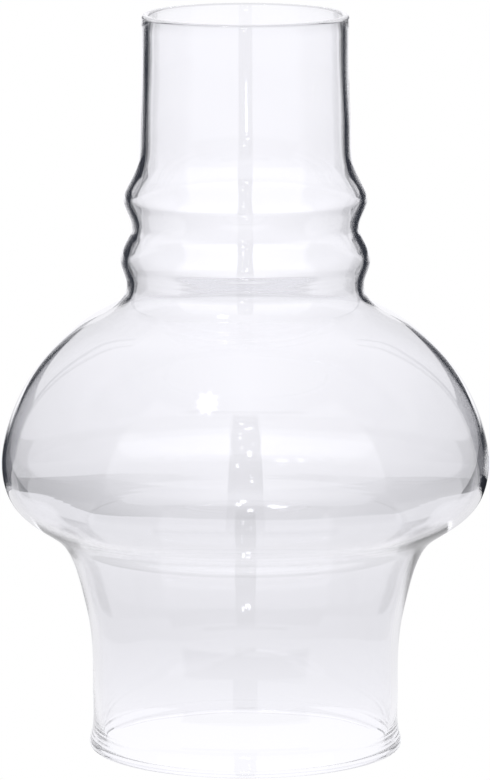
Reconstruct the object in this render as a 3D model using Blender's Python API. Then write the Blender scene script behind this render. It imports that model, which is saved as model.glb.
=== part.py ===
"""Clear glass chimney of an oil lamp: one blown shell of revolution, open at both ends.

The chimney stands on its beaded base rim at z = 0, with its axis along Z.
Lengths are given in millimetres and turned to metres as the mesh is made.
"""
import math

import bpy
import numpy as np

for old in list(bpy.data.objects):
    bpy.data.objects.remove(old, do_unlink=True)

MILLIMETRE = 0.001

# Driving dimensions
HEIGHT = 178.0
TOP_WALL = 1.8             # wall at the fire-polished top rim
BASE_BEAD_RADIUS = 37.75   # outside of the thick base rim, for a 3 inch burner gallery
BASE_BEAD_THICKNESS = 2.8
BASE_FLAT_WIDTH = 1.2      # ground flat that the chimney stands on

# How finely the shell is turned
SEGMENTS = 48
WALL_SPANS = 40            # spans along each side of the wall
ROUNDED_EDGE_SPANS = 3     # spans in each quarter of a rounded edge
SPAN_LENGTH_PER_RADIAN = 25.0   # how much a bend counts against length in spacing the spans

# Outside of the wall, from the base bead to the top rim: height and radius
WALL_OUTSIDE = (
    (BASE_BEAD_THICKNESS / 2, BASE_BEAD_RADIUS),
    (3.4, 37.3),
    (5.6, 36.9),           # foot of the skirt
    (12.0, 36.85),
    (20.0, 36.85),
    (30.0, 37.55),
    (38.0, 39.2),
    (46.0, 41.6),          # top of the skirt
    (50.5, 44.2),
    (56.0, 51.65),         # underside of the bulb
    (60.0, 55.9),
    (68.0, 58.55),         # widest
    (78.0, 57.3),
    (87.0, 53.65),
    (95.0, 48.1),
    (101.0, 42.1),         # shoulder
    (104.0, 38.3),
    (106.0, 35.0),
    (107.6, 32.1),
    (109.2, 29.9),         # fold at the foot of the neck
    (112.5, 28.4),         # lower waist
    (118.5, 29.9),         # lower ring
    (123.0, 28.65),
    (126.6, 27.2),         # upper waist
    (130.0, 28.05),
    (133.5, 29.15),        # upper ring
    (138.0, 27.4),
    (142.0, 25.8),
    (149.0, 25.25),
    (160.0, 24.85),
    (HEIGHT - TOP_WALL / 2, 24.75),
)

# Wall thickness against height: thin where the glass was blown widest
WALL_THICKNESS = (
    (BASE_BEAD_THICKNESS / 2, BASE_BEAD_THICKNESS),
    (3.4, 2.35),
    (5.6, 1.9),
    (9.0, 1.75),
    (30.0, 1.7),
    (46.0, 1.5),
    (67.5, 1.1),
    (90.0, 1.2),
    (104.0, 1.5),
    (109.2, 1.65),
    (112.5, 1.65),
    (126.6, 1.7),
    (133.5, 1.75),
    (145.0, 1.85),
    (160.0, 1.8),
    (HEIGHT - TOP_WALL / 2, TOP_WALL),
)

GLASS_COLOUR = (0.93, 0.94, 0.96, 1.0)
GLASS_ROUGHNESS = 0.02
GLASS_IOR = 1.52


def spline(knots, values, end_slope, places):
    """Cubic spline through the values, with the given slope at both ends."""
    knots, values = np.array(knots), np.array(values)
    gaps, steps = np.diff(knots), np.diff(values)
    system, target = np.eye(len(knots)), np.full(len(knots), float(end_slope))
    for i in range(1, len(knots) - 1):
        before, after = 1 / gaps[i - 1], 1 / gaps[i]
        system[i, i - 1:i + 2] = before, 2 * (before + after), after
        target[i] = 3 * (steps[i - 1] * before ** 2 + steps[i] * after ** 2)
    slopes = np.linalg.solve(system, target)

    span = np.clip(np.searchsorted(knots, places) - 1, 0, len(gaps) - 1)
    gap = gaps[span]
    u = (places - knots[span]) / gap
    start = values[span] * (1 + 2 * u) * (1 - u) ** 2 + slopes[span] * gap * u * (1 - u) ** 2
    end = values[span + 1] * (3 - 2 * u) * u ** 2 - slopes[span + 1] * gap * u ** 2 * (1 - u)
    return start + end


def wall_sides():
    """Points up the outside and up the inside of the wall, as (radius, height) rows."""
    heights, radii = zip(*WALL_OUTSIDE)
    along = np.concatenate(([0.0], np.cumsum(np.hypot(np.diff(heights), np.diff(radii)))))
    fine = np.linspace(0.0, along[-1], 4000)
    height = spline(along, heights, 1.0, fine)
    radius = spline(along, radii, 0.0, fine)

    rise, spread = np.gradient(height, fine), np.gradient(radius, fine)
    length = np.hypot(rise, spread)
    normal = np.stack((rise, -spread)) / length
    thickness = spline(*zip(*WALL_THICKNESS), 0.0, height)
    outside = np.stack((radius, height))
    inside = outside - normal * thickness

    # The spans are closer together where the wall bends
    turning = np.abs(np.diff(np.unwrap(np.arctan2(rise, spread))))
    weight = np.diff(fine) + turning * SPAN_LENGTH_PER_RADIAN
    weighted = np.concatenate(([0.0], np.cumsum(weight)))
    chosen = np.interp(np.linspace(0.0, weighted[-1], WALL_SPANS + 1), weighted, np.arange(len(fine)))
    chosen = np.round(chosen).astype(int)
    return outside[:, chosen].T, inside[:, chosen].T


def quarter_round(start, end, first_along_height):
    """Points between start and end, along a quarter of an ellipse that leaves start upright or level."""
    points = []
    for i in range(1, ROUNDED_EDGE_SPANS):
        angle = math.pi / 2 * i / ROUNDED_EDGE_SPANS
        eased, plain = 1 - math.cos(angle), math.sin(angle)
        across, up = (eased, plain) if first_along_height else (plain, eased)
        points.append((start[0] + (end[0] - start[0]) * across, start[1] + (end[1] - start[1]) * up))
    return points


def chimney_outline():
    """Closed outline of the wall: down the outside, under the base, up the inside, over the top."""
    outside, inside = wall_sides()
    foot_middle = (outside[0][0] + inside[0][0]) / 2
    foot_outer = (foot_middle + BASE_FLAT_WIDTH / 2, 0.0)
    foot_inner = (foot_middle - BASE_FLAT_WIDTH / 2, 0.0)
    crown = ((outside[-1][0] + inside[-1][0]) / 2, HEIGHT)
    return [
        *map(tuple, outside[::-1]),
        *quarter_round(outside[0], foot_outer, True),
        foot_outer,
        foot_inner,
        *quarter_round(foot_inner, inside[0], False),
        *map(tuple, inside),
        *quarter_round(inside[-1], crown, True),
        crown,
        *quarter_round(crown, outside[-1], False),
    ]


def clear_glass():
    material = bpy.data.materials.new("clear_glass")
    material.use_nodes = True
    shader = material.node_tree.nodes["Principled BSDF"]
    shader.inputs["Base Color"].default_value = GLASS_COLOUR
    shader.inputs["Roughness"].default_value = GLASS_ROUGHNESS
    shader.inputs["Metallic"].default_value = 0.0
    shader.inputs["IOR"].default_value = GLASS_IOR
    shader.inputs["Transmission Weight"].default_value = 1.0
    return material


def make_glass_chimney():
    outline = chimney_outline()
    points = [(radius * MILLIMETRE, 0.0, height * MILLIMETRE) for radius, height in outline]
    edges = [(i, (i + 1) % len(points)) for i in range(len(points))]
    mesh = bpy.data.meshes.new("glass_chimney")
    mesh.from_pydata(points, edges, [])
    mesh.materials.append(clear_glass())
    chimney = bpy.data.objects.new("glass_chimney", mesh)
    bpy.context.scene.collection.objects.link(chimney)

    turned = chimney.modifiers.new("turned", "SCREW")
    turned.axis = "Z"
    turned.angle = math.tau
    turned.steps = SEGMENTS
    turned.render_steps = SEGMENTS
    turned.use_merge_vertices = True
    turned.merge_threshold = 0.00001
    turned.use_smooth_shade = True
    return chimney


make_glass_chimney()
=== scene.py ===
"""Looks of the oil lamp chimney: one piece of clear blown glass on a white studio table.

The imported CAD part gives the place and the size. The glass is turned again here with a finer
mesh, and a small studio of white cards and dark gaps around it gives it its edges and highlights.
Lengths are in metres unless a name says otherwise.
"""

import math

import bpy
import numpy as np
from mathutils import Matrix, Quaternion, Vector


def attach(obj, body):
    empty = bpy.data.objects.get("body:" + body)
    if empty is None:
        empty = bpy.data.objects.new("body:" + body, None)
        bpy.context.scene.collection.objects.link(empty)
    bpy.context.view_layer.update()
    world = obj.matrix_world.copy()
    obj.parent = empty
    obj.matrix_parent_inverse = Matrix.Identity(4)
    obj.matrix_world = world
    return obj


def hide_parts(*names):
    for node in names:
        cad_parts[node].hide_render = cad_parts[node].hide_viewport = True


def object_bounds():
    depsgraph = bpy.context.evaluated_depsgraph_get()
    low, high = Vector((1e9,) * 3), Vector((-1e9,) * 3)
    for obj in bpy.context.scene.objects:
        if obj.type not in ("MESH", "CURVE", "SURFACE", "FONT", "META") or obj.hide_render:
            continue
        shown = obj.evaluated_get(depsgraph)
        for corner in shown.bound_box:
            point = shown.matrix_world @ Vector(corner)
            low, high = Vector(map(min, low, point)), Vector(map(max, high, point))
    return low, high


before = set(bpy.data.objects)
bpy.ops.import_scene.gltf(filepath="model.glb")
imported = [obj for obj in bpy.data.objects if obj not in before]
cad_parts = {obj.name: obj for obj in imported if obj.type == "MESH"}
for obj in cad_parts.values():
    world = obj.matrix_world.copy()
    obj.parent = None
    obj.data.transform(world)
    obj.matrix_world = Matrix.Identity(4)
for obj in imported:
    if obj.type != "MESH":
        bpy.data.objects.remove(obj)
CAD_LOW, CAD_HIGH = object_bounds()
CHIMNEY = "glass_chimney"
MILLIMETRE = 0.001


# ---------------------------------------------------------------- the glass

# Outside of the wall, from the base bead to the top rim: height and radius, in millimetres
WALL_OUTSIDE = (
    (1.4, 37.75),
    (3.4, 37.3),
    (5.6, 36.9),           # foot of the skirt
    (12.0, 36.85),
    (20.0, 36.85),
    (30.0, 37.55),
    (38.0, 39.2),
    (46.0, 41.6),          # top of the skirt
    (50.5, 44.2),
    (56.0, 51.65),         # underside of the bulb
    (60.0, 55.9),
    (68.0, 58.55),         # widest
    (78.0, 57.3),
    (87.0, 53.65),
    (95.0, 48.1),
    (101.0, 42.1),         # shoulder
    (104.0, 38.3),
    (106.0, 35.0),
    (107.6, 32.1),
    (109.2, 29.9),         # fold at the foot of the neck
    (112.5, 28.4),         # lower waist
    (118.5, 29.9),         # lower ring
    (123.0, 28.65),
    (126.6, 27.2),         # upper waist
    (130.0, 28.05),
    (133.5, 29.15),        # upper ring
    (138.0, 27.4),
    (142.0, 25.8),
    (149.0, 25.25),
    (160.0, 24.85),
    (177.1, 24.75),
)

# Wall thickness against height, in millimetres: thin where the glass was blown widest
WALL_THICKNESS = (
    (1.4, 2.8),
    (3.4, 2.35),
    (5.6, 1.9),
    (9.0, 1.75),
    (30.0, 1.7),
    (46.0, 1.5),
    (67.5, 1.1),
    (90.0, 1.2),
    (104.0, 1.5),
    (109.2, 1.65),
    (112.5, 1.65),
    (126.6, 1.7),
    (133.5, 1.75),
    (145.0, 1.85),
    (160.0, 1.8),
    (177.1, 1.8),
)
HEIGHT_MM = 178.0
SEGMENTS = 232
WALL_SPANS = 196           # spans along each side of the wall
ROUNDED_EDGE_SPANS = 8
SPAN_LENGTH_PER_RADIAN = 45.0
INNER_WAVE = 0.025         # how much the blown inside wanders, in millimetres
WAVE_FADE = 8.0            # height over which it starts and ends, in millimetres
GLASS_COLOUR = (0.972, 0.972, 0.987, 1.0)
GLASS_IOR = 1.52


def spline(knots, values, end_slope, places):
    """Cubic spline through the values, with the given slope at both ends."""
    knots, values = np.array(knots), np.array(values)
    gaps, steps = np.diff(knots), np.diff(values)
    system, target = np.eye(len(knots)), np.full(len(knots), float(end_slope))
    for i in range(1, len(knots) - 1):
        before, after = 1 / gaps[i - 1], 1 / gaps[i]
        system[i, i - 1:i + 2] = before, 2 * (before + after), after
        target[i] = 3 * (steps[i - 1] * before ** 2 + steps[i] * after ** 2)
    slopes = np.linalg.solve(system, target)

    span = np.clip(np.searchsorted(knots, places) - 1, 0, len(gaps) - 1)
    gap = gaps[span]
    u = (places - knots[span]) / gap
    start = values[span] * (1 + 2 * u) * (1 - u) ** 2 + slopes[span] * gap * u * (1 - u) ** 2
    end = values[span + 1] * (3 - 2 * u) * u ** 2 - slopes[span + 1] * gap * u ** 2 * (1 - u)
    return start + end


def wall_sides():
    """Points up the outside and up the inside of the wall, as (radius, height) rows in millimetres."""
    heights, radii = zip(*WALL_OUTSIDE)
    along = np.concatenate(([0.0], np.cumsum(np.hypot(np.diff(heights), np.diff(radii)))))
    fine = np.linspace(0.0, along[-1], 8000)
    height = spline(along, heights, 1.0, fine)
    radius = spline(along, radii, 0.0, fine)

    rise, spread = np.gradient(height, fine), np.gradient(radius, fine)
    length = np.hypot(rise, spread)
    normal = np.stack((rise, -spread)) / length
    thickness = spline(*zip(*WALL_THICKNESS), 0.0, height)
    outside = np.stack((radius, height))
    inside = outside - normal * thickness

    turning = np.abs(np.diff(np.unwrap(np.arctan2(rise, spread))))
    weight = np.diff(fine) + turning * SPAN_LENGTH_PER_RADIAN
    weighted = np.concatenate(([0.0], np.cumsum(weight)))
    chosen = np.interp(np.linspace(0.0, weighted[-1], WALL_SPANS + 1), weighted, np.arange(len(fine)))
    chosen = np.round(chosen).astype(int)
    return outside[:, chosen].T, inside[:, chosen].T


def quarter_round(start, end, first_along_height):
    """Points between start and end, along a quarter of an ellipse that leaves start upright or level."""
    points = []
    for i in range(1, ROUNDED_EDGE_SPANS):
        angle = math.pi / 2 * i / ROUNDED_EDGE_SPANS
        eased, plain = 1 - math.cos(angle), math.sin(angle)
        across, up = (eased, plain) if first_along_height else (plain, eased)
        points.append((start[0] + (end[0] - start[0]) * across, start[1] + (end[1] - start[1]) * up))
    return points


def chimney_outline():
    """Closed outline of the wall: down the outside, under the base, up the inside, over the top.

    Also says which of its points lie on the inside of the wall: 1 there, 0 at the rims and outside.
    """
    outside, inside = wall_sides()
    foot = ((outside[0][0] + inside[0][0]) / 2, 0.0)
    crown = ((outside[-1][0] + inside[-1][0]) / 2, HEIGHT_MM)
    outline = np.array([
        *map(tuple, outside[::-1]),
        *quarter_round(outside[0], foot, True),
        foot,
        *quarter_round(foot, inside[0], False),
        *map(tuple, inside),
        *quarter_round(inside[-1], crown, True),
        crown,
        *quarter_round(crown, outside[-1], False),
    ])
    first = len(outside) + 2 * ROUNDED_EDGE_SPANS - 1
    inner = np.zeros(len(outline))
    rising = np.clip((inside[:, 1] - inside[0, 1]) / WAVE_FADE, 0, 1)
    falling = np.clip((inside[-1, 1] - inside[:, 1]) / WAVE_FADE, 0, 1)
    inner[first:first + len(inside)] = rising * falling
    return outline, inner


def inner_waves(angles, heights):
    """How far the blown inside of the wall wanders from a true turned shape, in millimetres.

    Each wave takes a whole number of turns around, and some millimetres of height to a radian.
    """
    around, up = angles[:, None], heights[None, :]
    slow = np.sin(2 * around + up / 17.0) + np.sin(3 * around - up / 23.0 + 1.1)
    quick = np.sin(7 * around + up / 6.5 + 0.4) * np.sin(up / 9.0 + 2 * around)
    return INNER_WAVE * (slow + 0.6 * quick)


def turned_mesh(name, outline, inner):
    """Closed mesh of the outline turned about Z, with smooth faces pointing out."""
    count = len(outline)
    angles = np.arange(SEGMENTS) * (math.tau / SEGMENTS)
    radius = outline[:, 0][None, :] + inner[None, :] * inner_waves(angles, outline[:, 1])
    height = outline[:, 1][None, :]
    x = radius * np.cos(angles)[:, None]
    y = radius * np.sin(angles)[:, None]
    z = np.broadcast_to(height, x.shape)
    points = np.stack((x, y, z), axis=-1).reshape(-1, 3) * MILLIMETRE
    faces = []
    for i in range(SEGMENTS):
        here, there = i * count, (i + 1) % SEGMENTS * count
        for k in range(count):
            after = (k + 1) % count
            faces.append((here + k, here + after, there + after, there + k))
    mesh = bpy.data.meshes.new(name)
    mesh.from_pydata(points.tolist(), [], faces)
    mesh.shade_smooth()
    return mesh


def clear_glass():
    material = bpy.data.materials.new("clear_glass")
    material.use_nodes = True
    shader = material.node_tree.nodes["Principled BSDF"]
    shader.inputs["Base Color"].default_value = GLASS_COLOUR
    shader.inputs["Roughness"].default_value = 0.0
    shader.inputs["Metallic"].default_value = 0.0
    shader.inputs["IOR"].default_value = GLASS_IOR
    shader.inputs["Transmission Weight"].default_value = 1.0
    return material


def make_chimney():
    mesh = turned_mesh("clear_glass_chimney", *chimney_outline())
    mesh.materials.append(clear_glass())
    chimney = bpy.data.objects.new("clear_glass_chimney", mesh)
    bpy.context.scene.collection.objects.link(chimney)
    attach(chimney, "root")
    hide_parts(CHIMNEY)


# ---------------------------------------------------------------- the camera

CAMERA_PLACE = Vector((0.0, -1.580, 0.35376))
CAMERA_AIM = Vector((-0.0001, 0.0, 0.0872))    # about halfway up the chimney
SENSOR_WIDTH = 36.0                            # in millimetres, as is the lens
LENS = 307.9
FARTHEST_SEEN = 20.0


def make_camera():
    data = bpy.data.cameras.new("camera")
    data.sensor_width = SENSOR_WIDTH
    data.lens = LENS
    data.clip_end = FARTHEST_SEEN
    camera = bpy.data.objects.new("camera", data)
    bpy.context.scene.collection.objects.link(camera)
    camera.location = CAMERA_PLACE
    camera.rotation_euler = (CAMERA_AIM - CAMERA_PLACE).to_track_quat("-Z", "Y").to_euler()
    bpy.context.scene.camera = camera
    return camera


# ---------------------------------------------------------------- the studio

STUDIO_RADIUS = 1.2
FLOOR_REACH = 6.0
FLOOR_DROP = 0.0003        # how far the floor lies below the base rim
CARD_DROP = 0.0008         # how far the cards on the floor do
CARD_STEP = 2.0            # degrees of azimuth that each strip of a card takes
CARD_ROWS = 13             # points along a card's height or depth
BOUNCES = 128              # light is passed on inside the glass many times
WHITE = (1.0, 1.0, 1.0, 1.0)
COOL_WHITE = (1.0, 0.997, 1.022, 1.0)          # of the cards
DARK = (0.035, 0.038, 0.048, 1.0)              # what the glass sees where there is no card

# Cards on the studio's wall, the same to the left and right: azimuths in degrees from straight
# behind the object, elevations in degrees above the table, then the radiance at the low and
# high edge, first at the one azimuth and then at the other.
WALL_CARDS = (
    ("backdrop_foot", 0, 20, -1, 3, 1.03, 1.03, 0.96, 0.96),
    ("backdrop", 0, 13, 3, 14, 1.03, 1.03, 0.92, 0.95),
    ("backdrop_high", 0, 13, 14, 50, 1.12, 1.06, 1.05, 1.0),
    ("backdrop_wing", 13, 40, 14, 50, 0.66, 0.66, 0.66, 0.66),
    ("side_wall_low", 42, 112, -1, 14, 0.74, 0.74, 0.74, 0.90),
    ("side_wall", 42, 112, 14, 50, 0.78, 0.80, 0.95, 0.90),
    ("front_wall_low", 112, 172, -1, 10, 0.90, 1.10, 0.90, 1.10),
    ("front_softbox", 112, 172, 10, 36, 1.50, 1.50, 1.50, 1.50),
    ("front_wall_high", 112, 172, 36, 56, 1.30, 1.05, 1.30, 1.05),
    ("camera_gap_low", 172, 180, -1, 7, 0.34, 0.34, 0.34, 0.34),
    ("camera_gap", 172, 180, 7, 56, 0.15, 0.28, 0.15, 0.28),
    ("roof_back", 0, 112, 50, 90, 0.78, 0.78, 0.78, 0.78),
    ("roof_front", 112, 180, 56, 90, 0.78, 0.78, 0.78, 0.78),
)

# Cards on the floor, with distances from the object's axis in place of elevations
FLOOR_CARDS = (
    ("table_middle", 0, 180, 0.0, 0.045, 1.04, 1.02, 1.04, 1.02),
    ("table", 0, 140, 0.045, 0.13, 0.95, 0.84, 0.95, 0.82),
    ("table_front", 140, 172, 0.045, 0.092, 0.95, 0.90, 0.95, 0.90),
    ("table_front_gap", 172, 180, 0.045, 0.092, 0.95, 0.86, 0.95, 0.86),
    ("table_front_edge", 140, 180, 0.092, 0.113, 0.30, 0.48, 0.30, 0.48),
    ("table_front_side", 140, 172, 0.113, 0.13, 0.88, 0.85, 0.88, 0.85),
    ("table_front_end", 172, 180, 0.113, 0.13, 0.36, 0.36, 0.36, 0.36),
    ("table_rim", 0, 30, 0.13, 0.265, 0.84, 0.85, 0.76, 0.78),
    ("table_rim_side", 30, 112, 0.13, 0.265, 0.78, 0.80, 0.92, 0.90),
    ("table_edge_middle", 0, 5, 0.265, 0.32, 0.77, 0.84, 0.74, 0.78),
    ("floor_back_near", 0, 16.5, 0.32, 0.38, 0.89, 0.97, 0.70, 0.70),
    ("floor_back", 0, 16.5, 0.38, 0.85, 1.02, 1.03, 0.62, 0.72),
    ("floor_back_far", 0, 20, 0.85, 1.22, 1.03, 1.03, 0.68, 0.95),
    ("floor_side", 42, 72, 0.265, 1.22, 0.70, 0.62, 0.60, 0.60),
    ("floor_side_front", 72, 112, 0.265, 1.22, 0.60, 0.60, 0.55, 0.60),
    ("floor_front_near", 112, 172, 0.13, 0.5, 0.50, 0.45, 0.50, 0.45),
    ("floor_front_far", 112, 172, 0.5, 1.22, 0.60, 0.95, 0.60, 0.95),
    ("floor_gap_near", 172, 180, 0.13, 0.5, 0.02, 0.04, 0.02, 0.04),
    ("floor_gap_far", 172, 180, 0.5, 1.22, 0.12, 0.36, 0.12, 0.36),
)

# The table's edge is lighter to the right
LEFT_FLOOR_CARDS = (
    ("table_edge_left", 5, 16.5, 0.265, 0.32, 0.76, 0.80, 0.36, 0.40),
)
RIGHT_FLOOR_CARDS = (
    ("table_edge_right", 5, 16.5, 0.265, 0.32, 0.78, 0.80, 0.60, 0.52),
)

ON_WALL = 0.98             # of the studio's radius, just in front of the cards

# Small lamps: azimuth to the left (negative) or right, elevation, half width, half height and lean
# in degrees, radiance in the middle, and distance as a share of the studio's radius. They fade
# towards a slightly starred edge.
LAMPS = (
    ("lamp_left", -148.5, 63, 4.6, 6.6, 23, 20.0, ON_WALL),
    ("lamp_camera", 178, 34, 1.4, 1.4, 0, 16.0, ON_WALL),
    ("lamp_camera_left", -176, 27, 0.9, 0.9, 0, 12.0, ON_WALL),
    ("lamp_camera_low", 177, 17, 0.9, 0.9, 0, 10.0, ON_WALL),
    ("lamp_camera_high", -177, 45, 0.9, 0.9, 0, 10.0, ON_WALL),
    ("lamp_low_near", 178, 4, 1.8, 1.8, 0, 16.0, 0.2),
    ("lamp_low_middle", -177, 3, 1.8, 1.8, 0, 16.0, 0.32),
    ("lamp_low_far", -179, 2, 1.8, 1.8, 0, 16.0, 0.5),
)
LAMP_RINGS = 8
LAMP_SIDES = 56
LAMP_POINTS = 7            # of the star
LAMP_POINT_LENGTH = 0.18   # as a share of the lamp's half width


def make_turntable(camera):
    """The studio stands still in front of the camera while the object turns, so it faces the camera."""
    turntable = bpy.data.objects.new("turntable", None)
    bpy.context.scene.collection.objects.link(turntable)
    facing = turntable.constraints.new("LOCKED_TRACK")
    facing.target = camera
    facing.track_axis = "TRACK_NEGATIVE_Y"
    facing.lock_axis = "LOCK_Z"
    return turntable


def stage_mesh(name, points, faces, material, parent, glass_only=True):
    mesh = bpy.data.meshes.new(name)
    mesh.from_pydata(points, [], faces)
    mesh.materials.append(material)
    card = bpy.data.objects.new(name, mesh)
    bpy.context.scene.collection.objects.link(card)
    card.parent = parent
    if glass_only:
        card.visible_camera = False
        card.visible_shadow = False
    return card


def on_wall(azimuth, elevation):
    a, e = math.radians(azimuth), math.radians(elevation)
    across, up = STUDIO_RADIUS * math.cos(e), STUDIO_RADIUS * math.sin(e)
    return (across * math.sin(a), across * math.cos(a), up)


def on_floor(azimuth, distance):
    a = math.radians(azimuth)
    return (distance * math.sin(a), distance * math.cos(a), CAD_LOW.z - CARD_DROP)


def glowing_card():
    """Material of the cards: it glows as much as the mesh says at each point."""
    material = bpy.data.materials.new("card_glow")
    material.use_nodes = True
    nodes, links = material.node_tree.nodes, material.node_tree.links
    nodes.clear()
    radiance = nodes.new("ShaderNodeAttribute")
    radiance.attribute_name = "radiance"
    glow = nodes.new("ShaderNodeEmission")
    glow.inputs["Color"].default_value = COOL_WHITE
    out = nodes.new("ShaderNodeOutputMaterial")
    links.new(radiance.outputs["Fac"], glow.inputs["Strength"])
    links.new(glow.outputs[0], out.inputs["Surface"])
    return material


def floor_white():
    """Material of the floor, evenly white to the camera."""
    material = bpy.data.materials.new("white_floor")
    material.use_nodes = True
    nodes, links = material.node_tree.nodes, material.node_tree.links
    nodes.clear()
    glow = nodes.new("ShaderNodeEmission")
    glow.inputs["Color"].default_value = WHITE
    glow.inputs["Strength"].default_value = 1.0
    out = nodes.new("ShaderNodeOutputMaterial")
    links.new(glow.outputs[0], out.inputs["Surface"])
    return material


def set_radiance(card, values):
    """Say how much the card glows at each of its points."""
    glow = card.data.attributes.new("radiance", "FLOAT", "POINT")
    glow.data.foreach_set("value", values)


def curved_card(name, place, sides, azimuths, span, corners, material, parent):
    """A card over a span of azimuths and of heights or distances, on the left, the right or both."""
    points, faces, radiance = [], [], []
    ends = np.array(corners).reshape(2, 2)
    across = np.linspace(0.0, 1.0, 1 + math.ceil((azimuths[1] - azimuths[0]) / CARD_STEP))
    along = np.linspace(0.0, 1.0, CARD_ROWS)
    for side in sides:
        start = len(points)
        for u in across:
            azimuth = azimuths[0] + (azimuths[1] - azimuths[0]) * u
            for v in along:
                points.append(place(side * azimuth, span[0] + (span[1] - span[0]) * v))
                radiance.append(np.array((1 - u, u)) @ ends @ np.array((1 - v, v)))
        for i in range(len(across) - 1):
            for j in range(CARD_ROWS - 1):
                k = start + i * CARD_ROWS + j
                faces.append((k, k + 1, k + CARD_ROWS + 1, k + CARD_ROWS))
    card = stage_mesh(name, points, faces, material, parent)
    set_radiance(card, radiance)


def lamp_disc(name, azimuth, elevation, half_width, half_height, lean, radiance, distance,
              material, parent):
    """A small lamp that faces the object, brightest in its middle."""
    middle = Vector(on_wall(azimuth, elevation)) * distance
    leaning = Quaternion(middle, math.radians(lean))
    level = middle.cross((0, 0, 1)).normalized()
    upright = level.cross(middle).normalized()
    side = leaning @ level * middle.length * math.radians(half_width)
    up = leaning @ upright * middle.length * math.radians(half_height)
    points, glow, faces = [middle], [radiance], []
    for ring in range(1, LAMP_RINGS + 1):
        share = ring / LAMP_RINGS
        for i in range(LAMP_SIDES):
            turn = math.tau * i / LAMP_SIDES
            reach = share * (1 + LAMP_POINT_LENGTH * math.cos(LAMP_POINTS * turn))
            points.append(middle + (side * math.cos(turn) + up * math.sin(turn)) * reach)
            glow.append(1.0 + (radiance - 1.0) * (1 - share ** 2) ** 3)
    for i in range(LAMP_SIDES):
        after = (i + 1) % LAMP_SIDES
        faces.append((0, 1 + i, 1 + after))
        for ring in range(LAMP_RINGS - 1):
            inner, outer = 1 + ring * LAMP_SIDES, 1 + (ring + 1) * LAMP_SIDES
            faces.append((inner + i, outer + i, outer + after, inner + after))
    lamp = stage_mesh(name, points, faces, material, parent)
    set_radiance(lamp, glow)


def make_world():
    """White to the camera and dark to the glass."""
    world = bpy.data.worlds.new("studio")
    bpy.context.scene.world = world
    world.use_nodes = True
    nodes, links = world.node_tree.nodes, world.node_tree.links
    nodes.clear()
    path = nodes.new("ShaderNodeLightPath")
    dark = nodes.new("ShaderNodeBackground")
    dark.inputs["Color"].default_value = DARK
    white = nodes.new("ShaderNodeBackground")
    white.inputs["Color"].default_value = WHITE
    chosen = nodes.new("ShaderNodeMixShader")
    links.new(path.outputs["Is Camera Ray"], chosen.inputs[0])
    links.new(dark.outputs[0], chosen.inputs[1])
    links.new(white.outputs[0], chosen.inputs[2])
    out = nodes.new("ShaderNodeOutputWorld")
    links.new(chosen.outputs[0], out.inputs["Surface"])


def make_floor():
    """The white floor that the camera sees. The glass sees the cards on the floor in its place."""
    corners = [(x * FLOOR_REACH, y * FLOOR_REACH, CAD_LOW.z - FLOOR_DROP)
               for x, y in ((-1, -1), (1, -1), (1, 1), (-1, 1))]
    floor = stage_mesh("floor", corners, [(0, 1, 2, 3)], floor_white(), None, glass_only=False)
    floor.visible_glossy = False
    floor.visible_transmission = False


def make_studio(camera):
    turntable = make_turntable(camera)
    make_world()
    make_floor()
    glow = glowing_card()
    both = (-1, 1)
    groups = (
        (on_wall, both, WALL_CARDS),
        (on_floor, both, FLOOR_CARDS),
        (on_floor, (-1,), LEFT_FLOOR_CARDS),
        (on_floor, (1,), RIGHT_FLOOR_CARDS),
    )
    for place, sides, cards in groups:
        for name, from_azimuth, to_azimuth, start, end, *corners in cards:
            curved_card(name, place, sides, (from_azimuth, to_azimuth), (start, end), corners, glow,
                        turntable)
    for name, *lamp in LAMPS:
        lamp_disc(name, *lamp, glow, turntable)


def make_chimney_scene():
    make_chimney()
    camera = make_camera()
    make_studio(camera)
    scene = bpy.context.scene
    scene.view_settings.view_transform = "Standard"
    scene.cycles.max_bounces = BOUNCES
    scene.cycles.transmission_bounces = BOUNCES
    scene.cycles.glossy_bounces = BOUNCES


make_chimney_scene()
